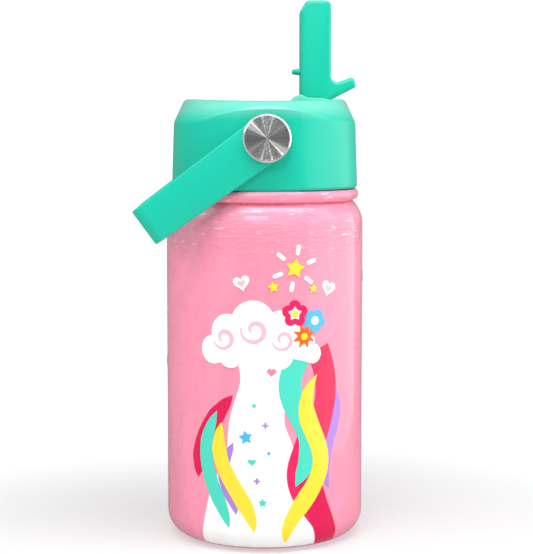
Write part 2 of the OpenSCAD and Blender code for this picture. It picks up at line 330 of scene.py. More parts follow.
def glossCoat(name, colour, mottle, brush):
    # gloss paint with a faint cloudy wash; near the shoulder its skin is drawn into small ripples, and
    # painted white glints sit on the ripples
    paint = Paint(name, IOR=1.5, Coat_Weight=0.55, Coat_Roughness=0.06, Coat_IOR=1.5,
        Specular_IOR_Level=0.2)
    cloudy = paint.noise(paint.place((1, 1, 0.6)), 46, 6, 0.62, 1.2)
    streaky = paint.noise(paint.place((1, 1, 0.16)), 260, 3, 0.55)
    wash = paint.ramp(cloudy, (0.3, 0), (0.7, 1)) * (1 - brush) + streaky * brush
    colourWire = paint.mix(wash, shade(colour, 1 - mottle), shade(colour, 1 + mottle * 0.3))
    height = paint.along("Z", paint.place()) / mm
    high = paint.rise(height, coatSizes["rippleFrom"], coatSizes["rippleTo"])
    ripple = paint.noise(paint.place((1, 1, 5)), 150, 3, 0.6, 0.3)
    skin = paint.noise(paint.place(), 900, 2)
    # painted highlight: white glints are painted on the ripples' crests near the shoulder
    glint = paint.ramp(ripple, (0.61, 0), (0.72, 1)) * high * 0.7
    colourWire = paint.mix(glint, colourWire, (1, 0.94, 0.96, 1))
    paint.bump(ripple * (high * 0.97 + 0.03) + skin * 0.02, 0.8, 0.0008)
    return paint.set(Base_Color=colourWire, Roughness=0.24 + cloudy * 0.07)


bandSizes = {"from": 8.5, "to": 2.5}  # how far below the rim the band begins and is full


def satinPlastic(name, colour, rough=0.34, rim=None):
    # moulded plastic with a fine etched grain, and near a rim height a glossier band with a painted pale
    # highlight
    paint = Paint(name, IOR=1.46, Coat_Roughness=0.3, Coat_IOR=1.5, Specular_IOR_Level=0.35)
    grain = paint.noise(paint.place(), 2600, 2, 0.6)
    flow = paint.noise(paint.place((1, 1, 0.4)), 38, 3, 0.5, 0.6)
    wash = paint.ramp(flow, (0.3, 0), (0.7, 1))
    colourWire = paint.mix(wash, shade(colour, 0.95), shade(colour, 1.03))
    coat = 0.25 + flow * 0.05
    if rim:
        height = paint.along("Z", paint.place()) / mm
        band = paint.rise(height, rim - bandSizes["from"], rim - bandSizes["to"])
        # painted highlight: the colour is paled towards white in the band under the rim
        colourWire = paint.mix(band * 0.2, colourWire, (0.62, 0.93, 0.86, 1))
        coat = coat + band * 0.75
    paint.bump(grain, 0.05, 0.00006)
    return paint.set(Base_Color=colourWire, Roughness=rough + flow * 0.05 + grain * 0.04, Coat_Weight=coat)


def softRubber(name, colour):
    paint = Paint(name, IOR=1.42, Transmission_Weight=0.25)
    milky = paint.noise(paint.place(), 160, 3)
    paint.bump(paint.noise(paint.place(), 1800, 2), 0.1, 0.00008)
    return paint.set(Base_Color=paint.mix(milky, shade(colour, 0.9), colour),
        Roughness=0.36 + milky * 0.12)


def turnedSteel(name, colour, axis="Z", rough=0.26):
    # steel with the fine rings that a lathe leaves round the given axis
    paint = Paint(name, Metallic=1.0)
    stretch = {"Z": (1, 1, 14), "Y": (1, 14, 1)}[axis]
    rings = paint.noise(paint.place(tuple(c * 60 for c in stretch)), 4, 4, 0.7)
    smudge = paint.noise(paint.place(), 70, 3)
    paint.bump(rings, 0.12, 0.00005)
    return paint.set(Base_Color=paint.mix(rings, shade(colour, 0.82), colour),
        Roughness=rough + rings * 0.1 + smudge * 0.08)


spunSizes = {"radius": 8.5, "pitch": 0.16}  # the button's radius and the spacing of its rings


def spunCapSteel(name, centre):
    # a spun face: painted light and dark reflection rays fan out from the centre, over very fine rings
    paint = Paint(name)
    spot = paint.place(location=(-centre.x * mm, 0, -centre.z * mm))
    across, up = paint.along("X", spot), paint.along("Z", spot)
    reach = (across * across + up * up) ** 0.5
    safe = paint.node("ShaderNodeMath", {"operation": "MAXIMUM"}, {0: reach, 1: 0.0004})
    ray = paint.node("ShaderNodeCombineXYZ", None, {0: across / safe, 1: 0.0, 2: up / safe})
    fine = paint.noise(ray, 30, 6, 0.8)
    broad = paint.noise(ray, 3.2, 3, 0.6)
    grit = paint.noise(paint.place(), 1500, 2, 0.8)
    angle = paint.node("ShaderNodeMath", {"operation": "ARCTAN2"}, {0: up, 1: across})

    def beam(degrees, sharpness):
        # a ray through the centre at an angle, narrower as it is sharper
        turned = paint.node("ShaderNodeMath", {"operation": "COSINE"}, {0: angle - math.radians(degrees)})
        return (turned * turned) ** sharpness

    # painted reflections: bright streaks at set angles, and a darker one across the face, stand in for the
    # spun metal's highlights
    glow = beam(-40, 30) * 0.30 + beam(-46, 220) * 0.45 + beam(-31, 120) * 0.2 + beam(74, 260) * 0.30
    glow = glow + beam(103, 300) * 0.30 + beam(38, 60) * 0.14 + beam(90, 5) * 0.12 - beam(6, 9) * 0.12
    speck = beam(90, 3) * 0.9 + 0.4
    fan = 0.27 + (fine - 0.5) * 0.55 + (broad - 0.5) * 0.3 + (grit - 0.5) * speck + glow
    tone = paint.ramp(fan, (0.0, 0.04), (0.35, 0.19), (0.7, 0.50), (1.0, 0.98))
    face = paint.ramp(reach / (spunSizes["radius"] * mm), (0.0, 1), (0.925, 1), (0.94, 0))
    groove = math.tau / (spunSizes["pitch"] * mm)
    rings = paint.node("ShaderNodeMath", {"operation": "SINE"}, {0: reach * groove})
    paint.bump((rings + grit) * face, 0.04, 0.00002)
    return paint.set(Base_Color=paint.mix(face, (0.96, 0.96, 0.96, 1), tone), Metallic=0.75 - face * 0.55,
        Roughness=face * 0.22 + 0.2)


def plainBits(name, colour, metallic, rough):
    paint = Paint(name, Metallic=metallic)
    cast = paint.noise(paint.place(), 420, 4, 0.6)
    paint.bump(cast, 0.12, 0.00006)
    return paint.set(Base_Color=paint.mix(cast, shade(colour, 0.85), colour),
        Roughness=rough + cast * 0.12)


colours = {"bodyPink": rgb(251, 151, 177), "lidGreen": rgb(0, 192, 163), "white": rgb(252, 251, 250),
    "hotPink": rgb(246, 30, 98), "crimson": rgb(222, 16, 82), "yellow": rgb(252, 224, 60),
    "aqua": rgb(78, 218, 194), "purple": rgb(176, 130, 220), "skyBlue": rgb(74, 186, 238),
    "orange": rgb(255, 104, 24), "palePink": rgb(250, 186, 204), "rose": rgb(252, 130, 160)}

pinkCoat = glossCoat("pinkGlossCoat", colours["bodyPink"], 0.13, 0.0)
greenPlastic = satinPlastic("greenSatinPlastic", colours["lidGreen"])
lidPlastic = satinPlastic("lidSatinPlastic", colours["lidGreen"], rim=lidTop)
clearRubber = softRubber("milkyRubber", (0.80, 0.82, 0.80, 1))
frostPlastic = satinPlastic("frostedPlastic", (0.78, 0.80, 0.78, 1), 0.4)
linerSteel = turnedSteel("linerSteel", (0.66, 0.655, 0.64, 1))
baseSteel = turnedSteel("baseSteel", (0.60, 0.595, 0.58, 1), rough=0.3)
pinSteel = turnedSteel("pinSteel", (0.62, 0.61, 0.60, 1), "Y", 0.2)
darkGlass = plainBits("sealingGlass", (0.06, 0.06, 0.07, 1), 0.0, 0.12)
getterMetal = plainBits("getterMetal", (0.32, 0.32, 0.33, 1), 1.0, 0.5)
brass = plainBits("knurledBrass", (0.80, 0.58, 0.25, 1), 1.0, 0.28)
washerPlastic = satinPlastic("slipperyPlastic", (0.78, 0.78, 0.75, 1), 0.3)
capSteel = spunCapSteel("spunSteel", handlePivot)
print("materials mixed")

shellSizes = {"radius": 36.5, "footRadius": 8.5, "wallTop": 115.7, "shoulderRadius": 12.0,
    "shoulderSweep": 48, "beadRadius": 1.7, "beadOut": 0.67, "beadUp": 2.53, "beadSweep": 104,
    "beadInnerSweep": 50, "collar": 1.38, "wall": 0.6, "seam": 0.02}
neckSizes = {"belowGasket": 1.2, "overlap": 0.3, "edge": 0.25}
threadSizes = {"height": 1.2, "root": 0.3, "pitch": 3.6, "foot": 2.2, "crest": 0.9, "turns": 2,
    "steps": 96, "aboveBead": 2.4}
shellHigh = boxOf("outer_shell")[1]
neckRadius = boxOf("lid_gasket")[1].x - neckSizes["belowGasket"]
wall = shellSizes["wall"]


def shellOutline(inset):
    s = shellSizes
    foot = s["radius"] - s["footRadius"]
    hip = s["radius"] - s["shoulderRadius"]
    sweep = s["shoulderSweep"]
    return (arc(foot, s["footRadius"], s["footRadius"] - inset, -90, 0, 14)
        + arc(hip, s["wallTop"], s["shoulderRadius"] - inset, 0, sweep, 14))


grooveRadius = shellSizes["radius"] - shellSizes["shoulderRadius"] * (
    1 - math.cos(math.radians(shellSizes["shoulderSweep"])))
beadX = grooveRadius + shellSizes["beadOut"]
beadZ = (shellSizes["wallTop"] + shellSizes["beadUp"]
    + shellSizes["shoulderRadius"] * math.sin(math.radians(shellSizes["shoulderSweep"])))
beadTop = beadZ + shellSizes["beadRadius"]


def makeShell():
    s = shellSizes
    outside = shellOutline(0)
    under = arc(0, 0, s["beadRadius"], -s["beadSweep"], 0, 10)
    outside += [(beadX + x, beadZ + z * s["collar"]) for x, z in under[:-1]]
    outside += arc(beadX, beadZ, s["beadRadius"], 0, 90, 9)
    outside += [(neckRadius + s["seam"], beadTop)]
    inside = [(neckRadius + s["seam"], beadTop - wall)]
    inside += arc(beadX, beadZ, s["beadRadius"] - wall, 90, -s["beadInnerSweep"], 8)
    inside += [(grooveRadius - wall, beadZ - s["beadRadius"])]
    inside += list(reversed(shellOutline(wall)))
    return spinPiece("paintedShell", outside + inside + outside[:1], 160)


def makeNeck():
    top, edge = shellHigh.z, neckSizes["edge"]
    ring = [(neckRadius, beadTop - wall), (neckRadius, beadTop + neckSizes["overlap"]),
        (neckRadius, top - edge), (neckRadius - edge, top), (neckRadius - wall, top),
        (neckRadius - wall, beadTop - wall)]
    return spinPiece("steelNeck", ring + ring[:1], 128)


def makeThread():
    # a ridge's cross-section carried round and up by a screw
    t = threadSizes
    root, crest = neckRadius - t["root"], neckRadius + t["height"]
    z = beadTop + t["aboveBead"]
    outline = [(root, z - t["foot"] / 2), (crest, z - t["crest"] / 2), (crest, z + t["crest"] / 2),
        (root, z + t["foot"] / 2)]
    deselect()
    bpy.ops.mesh.primitive_circle_add(vertices=4, radius=1, fill_type="NOTHING")
    piece = bpy.context.object
    piece.name = "neckThread"
    for vertex, (x, height) in zip(piece.data.vertices, outline):
        vertex.co = (x, 0, height)
    modifier = piece.modifiers.new("winding", "SCREW")
    modifier.angle = math.tau
    modifier.screw_offset = t["pitch"]
    modifier.iterations = t["turns"]
    modifier.steps = t["steps"]
    modifier.render_steps = t["steps"]
    applyModifiers(piece)
    editAll(piece)
    bpy.ops.mesh.remove_doubles(threshold=0.0005)
    bpy.ops.mesh.fill_holes(sides=4)
    bpy.ops.mesh.normals_make_consistent(inside=False)
    bpy.ops.object.mode_set(mode="OBJECT")
    return piece


finishPiece(makeShell(), "bottle", pinkCoat, ["outer_shell"], 50)
finishPiece(makeNeck(), "bottle", linerSteel, angle=30)
finishPiece(makeThread(), "bottle", linerSteel, angle=30)
print("shell, neck and thread made")

# u runs round the wall to the right of the front, v up the wall; both are millimetres of wall
printSizes = {"bottom": 0.6, "cut": 1.6, "footCut": 0.8, "sink": 0.05, "smooth": 10, "thinnest": 0.06}

# how far each ink stands out of the wall, so that the upper ones cover the lower ones
inkLifts = {"whiteWaves": 0.04, "purpleWaves": 0.10, "yellowWaves": 0.21, "hotPinkWaves": 0.13,
    "aquaWaves": 0.17, "crimsonWaves": 0.15, "whiteClouds": 0.25, "cloudShade": 0.28,
    "blueFlower": 0.30, "pinkFlower": 0.32, "orangeFlower": 0.34, "whitePetals": 0.34,
    "yellowCentres": 0.36, "roseHearts": 0.27, "blueStars": 0.14, "aquaDots": 0.14,
    "purplePluses": 0.14}


def smoothLine(points, steps):
    # a smooth curve through the points; further numbers of a point are carried along
    ends = [points[0]] + list(points) + [points[-1]]
    line = []
    for a, b, c, d in zip(ends, ends[1:], ends[2:], ends[3:]):
        for i in range(steps):
            t = i / steps
            line.append(tuple(0.5 * (2 * q + (r - p) * t + (2 * p - 5 * q + 4 * r - s) * t * t
                + (3 * q - p - 3 * r + s) * t ** 3) for p, q, r, s in zip(a, b, c, d)))
    return line + [tuple(points[-1])]


def ribbon(*points):
    # a wavy band given by points on its middle line, each with the band's width there
    line = smoothLine(points, printSizes["smooth"])
    left, right = [], []
    for i, (u, v, width) in enumerate(line):
        before, after = Vector(line[max(i - 1, 0)][:2]), Vector(line[min(i + 1, len(line) - 1)][:2])
        across = (after - before).normalized().orthogonal() * max(width, printSizes["thinnest"]) / 2
        left.append((u + across.x, v + across.y))
        right.append((u - across.x, v - across.y))
    return left + list(reversed(right))


def bunch(discs, steps=300):
    # the outer edge of a bunch of discs, seen from their middle, turn by turn
    cu = sum(d[0] for d in discs) / len(discs)
    cv = sum(d[1] for d in discs) / len(discs)
    points = []
    for i in range(steps):
        ray = Vector((math.cos(math.tau * i / steps), math.sin(math.tau * i / steps)))
        far = 0.1
        for u, v, radius in discs:
            offset = Vector((u - cu, v - cv))
            along = offset.dot(ray)
            root = radius * radius - (offset.length_squared - along * along)
            if root > 0:
                far = max(far, along + math.sqrt(root))
        points.append((cu + far * ray.x, cv + far * ray.y))
    return points


def petals(u, v, size, turn=90):
    # five round petals
    petal = size * 0.44
    seats = arc(u, v, size - petal, turn, turn + 288, 4)
    return bunch([(x, y, petal) for x, y in seats], 160)


def disc(u, v, radius):
    return arc(u, v, radius, 0, 351, 39)  # 40 points


def star(u, v, size, points=5, turn=90, waist=0.5):
    tips = []
    for i in range(2 * points):
        a = math.radians(turn + 180 * i / points)
        r = size if i % 2 == 0 else size * waist
        tips.append(Vector((u + r * math.cos(a), v + r * math.sin(a))))
    outline = []
    for i, tip in enumerate(tips):  # each corner is rounded a little
        before = tips[i - 1].lerp(tip, 0.78)
        after = tip.lerp(tips[(i + 1) % len(tips)], 0.22)
        for step in range(5):
            t = step / 4
            outline.append(tuple(before.lerp(tip, t).lerp(tip.lerp(after, t), t)))
    return outline


def turned(points, u, v, turn):
    # a shape drawn about the origin is turned and moved to its place
    a = math.radians(turn)
    return [(u + x * math.cos(a) - y * math.sin(a), v + x * math.sin(a) + y * math.cos(a))
        for x, y in points]


def heart(u, v, size, turn=0):
    points = []
    for i in range(48):
        t = math.tau * i / 48
        x = 16 * math.sin(t) ** 3
        y = 13 * math.cos(t) - 5 * math.cos(2 * t) - 2 * math.cos(3 * t) - math.cos(4 * t)
        points.append((x * size / 17, y * size / 17))
    return turned(points, u, v, turn)


def dash(u, v, length, width, turn):
    # a bar with round ends
    ends = arc(length / 2 - width / 2, 0, width / 2, -90, 90, 8)
    ends += arc(width / 2 - length / 2, 0, width / 2, 90, 270, 8)
    return turned(ends, u, v, turn)


def plus(u, v, size):
    w = size * 0.3
    corners = [(w, size), (w, w), (size, w), (size, -w), (w, -w), (w, -size),
        (-w, -size), (-w, -w), (-size, -w), (-size, w), (-w, w), (-w, size)]
    return [(u + x, v + y) for x, y in corners]


def wrap(u, v, lift):
    # lays a flat point on the wall, or on the rounded foot below it
    s = shellSizes
    reach = s["radius"] + lift
    height = v
    if v < s["footRadius"]:
        lean = (s["footRadius"] - v) / s["footRadius"]
        reach = s["radius"] - s["footRadius"] + (s["footRadius"] + lift) * math.cos(lean)
        height = s["footRadius"] - (s["footRadius"] + lift) * math.sin(lean)
    turn = u / s["radius"]
    return Vector((reach * math.sin(turn), -reach * math.cos(turn), height))


def printPiece(name, outlines, colour):
    # flat ink shapes are cut into narrow strips, given a thickness and wrapped on the wall
    cut, footCut, foot = printSizes["cut"], printSizes["footCut"], shellSizes["footRadius"]
    deselect()
    shapes = []
    for outline in outlines:
        bpy.ops.mesh.primitive_circle_add(vertices=len(outline), radius=1, fill_type="NGON")
        shape = bpy.context.object
        for vertex, (u, v) in zip(shape.data.vertices, outline):
            vertex.co = (u, 0, v)
        shapes.append(shape)
    for shape in shapes:
        shape.select_set(True)
    bpy.context.view_layer.objects.active = shapes[0]
    if len(shapes) > 1:
        bpy.ops.object.join()
    piece = bpy.context.object
    piece.name = name
    editAll(piece)
    spots = [point for outline in outlines for point in outline]
    left, right = min(p[0] for p in spots), max(p[0] for p in spots)
    strips = range(math.ceil(left / cut), math.floor(right / cut) + 1)
    cuts = [((strip * cut, 0, 0), (1, 0, 0)) for strip in strips]
    if min(p[1] for p in spots) < foot:
        cuts += [((0, 0, foot - footCut * i), (0, 0, 1)) for i in range(int(foot / footCut))]
    for point, normal in cuts:
        bpy.ops.mesh.select_all(action="SELECT")
        bpy.ops.mesh.bisect(plane_co=point, plane_no=normal)
    bpy.ops.mesh.select_all(action="SELECT")
    bpy.ops.mesh.bisect(plane_co=(0, 0, printSizes["bottom"]), plane_no=(0, 0, 1), clear_inner=True)
    bpy.ops.mesh.select_all(action="SELECT")
    bpy.ops.mesh.extrude_region_move(TRANSFORM_OT_translate={"value": (0, -1, 0)})
    bpy.ops.object.mode_set(mode="OBJECT")
    for vertex in piece.data.vertices:
        u, y, v = vertex.co
        vertex.co = wrap(u, v, inkLifts[name] if y < -0.5 else -printSizes["sink"])
    editAll(piece)
    bpy.ops.mesh.normals_make_consistent(inside=False)
    bpy.ops.object.mode_set(mode="OBJECT")
    material = glossCoat(name + "Ink", colours[colour], 0.06, 0.6)
    return finishPiece(piece, "bottle", material, angle=30)


def current(start, end, width, swing, turns, phase, ends=(0, 1, 1, 0)):
    # one wavy band of a bundle: it sways about a straight course and swells between its ends
    points = []
    for i in range(13):
        t = i / 12
        u, v = start[0] + (end[0] - start[0]) * t, start[1] + (end[1] - start[1]) * t
        sway = swing * math.sin(math.tau * turns * t + math.radians(phase))
        share = ends[0] + (ends[1] - ends[0]) * min(t * 4, 1) + (ends[3] - ends[2]) * max(t * 4 - 3, 0)
        band = width * (0.16 + 0.84 * share ** 0.7) if share > 0 else 0
        points.append((u + sway, v, band))
    return ribbon(*points)


def swirl(u, v, radius, turn, width):
    # an open curl that winds inwards
    points = []
    for i in range(12):
        t = i / 11
        a = math.radians(turn + 400 * t)
        r = radius * (1 - 0.72 * t)
        band = width * math.sin(math.pi * (0.1 + 0.8 * t))
        points.append((u + r * math.cos(a), v + r * math.sin(a), band))
    return ribbon(*points)


# each cloud is a bunch of discs, given by their middles and radii
clouds = [
    [(-19.5, 73, 5.2), (-14, 79.5, 6.4), (-5, 83, 7.8), (5, 80.5, 6.8), (12, 75, 5.6),
        (-13, 71.5, 4.8), (-5, 73, 6), (4, 71.5, 5.4), (16.5, 71.5, 3.6)],
    [(96, 78, 7), (104, 82, 8.5), (113, 78, 7), (104, 74, 9)],
    [(-92, 44, 6.5), (-84, 49, 8), (-75, 45, 7), (-84, 41, 8)],
    [(92, 26, 6), (100, 30, 7.5), (108, 26, 6.5), (100, 22, 7)]]

# wide wavy bands that pour out of the cloud on both sides of a white one
waves = {
    "white": [ribbon((-2, 76, 20), (-1, 62, 17), (-3.6, 47, 20), (-2.4, 32, 27), (-4, 17, 37),
        (-3.4, -2, 47))],
    "crimson": [current((18.4, 73), (20.6, -1), 9.2, 3.9, 1.2, 10, (1, 1, 1, 1)),
        current((-13, 57), (-26, 26), 6.4, 4.2, 0.5, 170)],
    "aqua": [current((12, 70), (12, 24), 8.2, 3.8, 1.05, 190, (1, 1, 1, 0)),
        current((-17.4, 51), (-18, 9), 5.4, 5.4, 0.62, 190)],
    "yellow": [current((20.6, 64), (11, 3), 6.8, 4.8, 1.25, 205),
        current((-16, 47), (-8, 8), 5.6, 3.6, 0.75, 190)],
    "purple": [current((24.6, 62), (24.4, 22), 5.4, 2.6, 1.0, 350),
        current((-13.4, 40), (-13.6, 14), 4, 2.6, 0.8, 150)],
    "hotPink": [current((10, 56), (14.6, 8), 4.6, 3.4, 1.1, 30)]}


def makePrint():
    for colour, bands in waves.items():
        printPiece(colour + "Waves", bands, colour)
    rays = [dash(x, y, 3.8, 1.5, 20 + 60 * i) for i, (x, y) in enumerate(arc(10, 102, 6.6, 20, 320, 5))]
    printPiece("whiteClouds", [bunch(cloud) for cloud in clouds] + [heart(-9, 97, 3.2, 14),
        heart(23.5, 94.5, 3.2, -18)] + rays + [dash(62, 60, 4, 1.4, 0), dash(-56, 84, 4, 1.4, 90),
        dash(-56, 84, 4, 1.4, 0)], "white")
    printPiece("cloudShade", [swirl(-15.6, 77.2, 4.2, 200, 1.6), swirl(-4.4, 80.2, 5, 170, 1.7),
        swirl(5.6, 76.8, 4, 190, 1.4), heart(-9, 96.8, 1.5, 14), heart(23.4, 94.3, 1.5, -18)],
        "palePink")
    printPiece("blueFlower", [petals(17.6, 83.2, 4.3, 60), petals(78, 50, 5, 70)], "skyBlue")
    printPiece("pinkFlower", [petals(9.9, 86, 4.8), petals(-98, 76, 6)], "hotPink")
    printPiece("orangeFlower", [star(13.4, 77.8, 4.6, 8, 20), star(-66, 20, 5, 8, 20)], "orange")
    printPiece("whitePetals", [star(9.9, 86, 2.6, waist=0.6), disc(17.6, 83.2, 1.5),
        star(-98, 76, 3, waist=0.6), disc(78, 50, 1.7)], "white")
    printPiece("yellowCentres", [disc(9.9, 86, 1.3), disc(-98, 76, 1.6), disc(13.4, 77.8, 1.25),
        disc(-66, 20, 1.4), star(10, 102, 3.8, turn=80), star(2.2, 95.6, 2.2, turn=100),
        star(17, 94.6, 1.7), star(-76, 88, 3.6), star(72, 74, 3.4), star(112, 52, 3.4)], "yellow")
    printPiece("roseHearts", [heart(1.6, 65.4, 1.7), heart(-60, 64, 2.6), heart(84, 94, 2.6),
        heart(60, 30, 2.2)], "rose")
    printPiece("blueStars", [star(-7.6, 42, 2.7, turn=100), disc(0.6, 36.4, 0.6), disc(-8.2, 22, 0.6),
        star(-112, 30, 3.2), star(56, 96, 2.6), heart(106, 98, 1.9)], "skyBlue")
    printPiece("aquaDots", [heart(-5.4, 33.2, 1.5), disc(-4.6, 53.4, 0.7), star(-1.6, 18.6, 1.7)],
        "aqua")
    printPiece("purplePluses", [plus(-0.6, 46.4, 1.1), plus(-3.6, 26.4, 1.1), plus(-108, 54, 1.4),
        plus(66, 14, 1.3)], "purple")


makePrint()
print("printed pattern made")

lidLow, lidHigh = boxOf("lid_shell")
spoutLow, spoutHigh = boxOf("spout")
insertHigh = boxOf("lid_insert")[1]
# the lid's slot is cut to fit the spout, so the spout's sizes stand here too
lidSizes = {"draft": 0.8, "bevelHeight": 7.5, "bevelWidth": 4.0, "dip": 1.1, "softness": 1.2,
    "crown": 2.6, "hip": 2.7, "foot": 1.2, "lip": 0.4, "saddleBevel": 3.4, "sideBevel": 8.6,
    "saddleFrom": 10, "saddleTo": 54}
holeSizes = {"post": 2.4, "postDeep": 6, "pin": 1.5, "pinFrom": 5, "pinTo": 10.2, "over": 2}
slotSizes = {"room": 0.35, "tipRoom": 0.6, "corner": 1.6, "lip": 0.55, "lipSweep": 76,
    "floorRadius": 0.5}
spoutSizes = {"thick": 11.1, "edge": 1.25, "tipRound": 1.9, "chamferOut": 2.1, "chamferDown": 3.6,
    "leverUp": 20.6, "leverDown": 27, "leverTip": 1.25, "upTipOut": 13.7, "upTipUp": 14.6,
    "lowTipUp": 10.9, "pegBase": 1.45, "pegTip": 0.9, "pegLong": 4, "pegUp": 16.5, "bore": 2.0,
    "boreDown": 12, "mouth": 2.8, "mouthDeep": 12, "over": 5, "pinHole": 1.55, "pinFrom": 4.4,
    "pinTo": 12}
flatY = lidHigh.y
wallTop = lidTop - lidSizes["bevelHeight"]
topRadius = lidHigh.x - lidSizes["draft"] - lidSizes["bevelWidth"]
spoutHalf = spoutSizes["thick"] / 2
slotHalf = (spoutHigh.y - spoutLow.y) / 2 + slotSizes["room"]
slotFloor = spoutHinge.z - spoutHalf - slotSizes["room"]
deckTop = insertHigh.z


def softMin(a, b, blend):
    # the smaller of two numbers, with a smooth change from one to the other
    h = max(blend - abs(a - b), 0) / blend
    return min(a, b) - h * h * blend / 4


def lidSurface(x):
    return lidTop - lidSizes["dip"] * max(0.0, 1 - (x / topRadius) ** 2)


def bevelDepth(x, y):
    # the bevel round the top is low beside the buttons and high at the two other sides
    away = math.degrees(math.atan2(abs(x), abs(y) + 0.001))
    share = (away - lidSizes["saddleFrom"]) / (lidSizes["saddleTo"] - lidSizes["saddleFrom"])
    share = min(max(share, 0), 1)
    share = share * share * (3 - 2 * share)
    return lidSizes["saddleBevel"] + (lidSizes["sideBevel"] - lidSizes["saddleBevel"]) * share


def makeLidBlank():
    crown, hip = (topRadius, lidTop), (lidHigh.x - lidSizes["draft"], wallTop)
    heel, inner, lip = (lidHigh.x, lidLow.z), insertHigh.x, lidSizes["lip"]
    outline = [(topRadius * i / 12, lidTop) for i in range(11)]
    outline += corner((0, lidTop), crown, hip, lidSizes["crown"], 10)
    outline += [tuple(Vector(crown).lerp(Vector(hip), t)) for t in (0.45, 0.6)]
    outline += corner(crown, hip, heel, lidSizes["hip"], 8)
    outline += [tuple(Vector(hip).lerp(Vector(heel), t / 16)) for t in range(2, 15)]
    outline += corner(hip, heel, (0, lidLow.z), lidSizes["foot"], 6)
    outline += [(inner + lip, lidLow.z), (inner, lidLow.z + lip), (inner, deckTop), (0, deckTop)]
    blank = spinPiece("lidCover", outline, 200)
    base = deckTop + 1
    for vertex in blank.data.vertices:
        x, y, z = vertex.co
        outer = math.hypot(x, y) > inner + lip / 2 or z > deckTop + 0.5
        if outer and z > base:  # the round blank's bevel is stretched to its depth at this side
            deep = bevelDepth(x, y)
            if z > wallTop:
                z = lidTop - (lidTop - z) * deep / lidSizes["bevelHeight"]
            else:
                z = base + (z - base) * (lidTop - deep - base) / (wallTop - base)
            vertex.co.z = z
        if outer:  # the wall is flat behind the handle's arms
            vertex.co.y = math.copysign(softMin(abs(y), flatY, lidSizes["softness"]), y)
        if z > wallTop:
            share = (z - wallTop) / lidSizes["bevelHeight"]
            vertex.co.z = z - (lidTop - lidSurface(x)) * min(1, share * 1.4)
    return blank


def roundedRing(x0, x1, half, radius, height):
    # a rectangle with round corners, each point raised to the height that is asked for at its x
    ring = []
    for cx, cy, start in ((x1, half, 0), (x0, half, 90), (x0, -half, 180), (x1, -half, 270)):
        sx, sy = (1 if cx == x1 else -1), (1 if cy > 0 else -1)
        ring += arc(cx - sx * radius, cy - sy * radius, radius, start, start + 90, 8)
        if start in (0, 180):  # the long sides get points between their corners, to follow the dip
            far = x0 + radius if start == 0 else x1 - radius
            near = cx - sx * radius
            ring += [(near + (far - near) * i / 24, cy) for i in range(1, 24)]
    return [(x, y, height(x)) for x, y in ring]


def makeSlotCutter():
    s = slotSizes
    x0 = spoutHinge.x - (spoutHigh.z - spoutHinge.z) - s["tipRoom"]
    x1 = spoutHinge.x + spoutHalf + s["room"]
    levels = [(-s["floorRadius"], lambda x: slotFloor), (0, lambda x: slotFloor + s["floorRadius"])]
    for step in range(6):
        a = math.radians(s["lipSweep"] * step / 5)
        levels.append((s["lip"] * (1 - math.cos(a)),
            lambda x, a=a: lidSurface(x) - s["lip"] + s["lip"] * math.sin(a)))
    levels.append((s["lip"], lambda x: lidSurface(x) + 4))
    rings = [roundedRing(x0 - grow, x1 + grow, slotHalf + grow, s["corner"] + grow, height)
        for grow, height in levels]
    return loftPiece("slotCutter", rings)


def makeLid():
    h = holeSizes
    lid = makeLidBlank()
    combine(lid, makeSlotCutter())
    for node in ("spout_seal", "vent_valve"):
        low, high = boxOf(node)
        x = (low.x + high.x) / 2
        combine(lid, rod("drill", (high.x - low.x) / 2, (x, 0, deckTop - 1), (x, 0, slotFloor + 1)))
    for side in (-1, 1):
        combine(lid, rod("drill", h["post"], (0, side * (flatY - h["postDeep"]), handlePivot.z),
            (0, side * (flatY + h["over"]), handlePivot.z), 48))
        combine(lid, rod("drill", h["pin"], (spoutHinge.x, side * h["pinFrom"], spoutHinge.z),
            (spoutHinge.x, side * h["pinTo"], spoutHinge.z), 32))
    return lid


cheekSizes = {"thick": 1.9, "rise": 1.5, "edge": 0.4}


def makeCheeks():
    # the low hinge cheeks beside the spout's root
    pieces = []
    half = slotHalf + slotSizes["lip"]
    x = spoutHinge.x
    rise = lidTop + cheekSizes["rise"]
    outline = [(x - 9.2, lidTop - 2.4), (x - 9.2, lidTop - 0.9), (x - 7.4, rise - 0.5), (x - 6.4, rise),
        (x - 5.4, rise - 0.1), (x - 3.2, lidTop + 0.35), (x + 2.5, lidTop + 0.1),
        (x + 7.2, lidTop - 0.8), (x + 7.2, lidTop - 2.4)]
    for side in (-1, 1):
        y = side * half
        cheek = platePiece("hingeCheek" + "LR"[side > 0], outline, y, y + side * cheekSizes["thick"])
        roundEdges(cheek, cheekSizes["edge"])
        pieces.append(cheek)
    return pieces


finishPiece(makeLid(), "lid", lidPlastic, ["lid_shell"], 38)
for cheek in makeCheeks():
    finishPiece(cheek, "lid", lidPlastic)
print("lid made")


def leverRoot(tip, slope, right):
    # where an edge of the lever, followed back from its tip, meets the spout
    return tip - Vector((1, math.tan(math.radians(slope)))) * (tip.x - right)


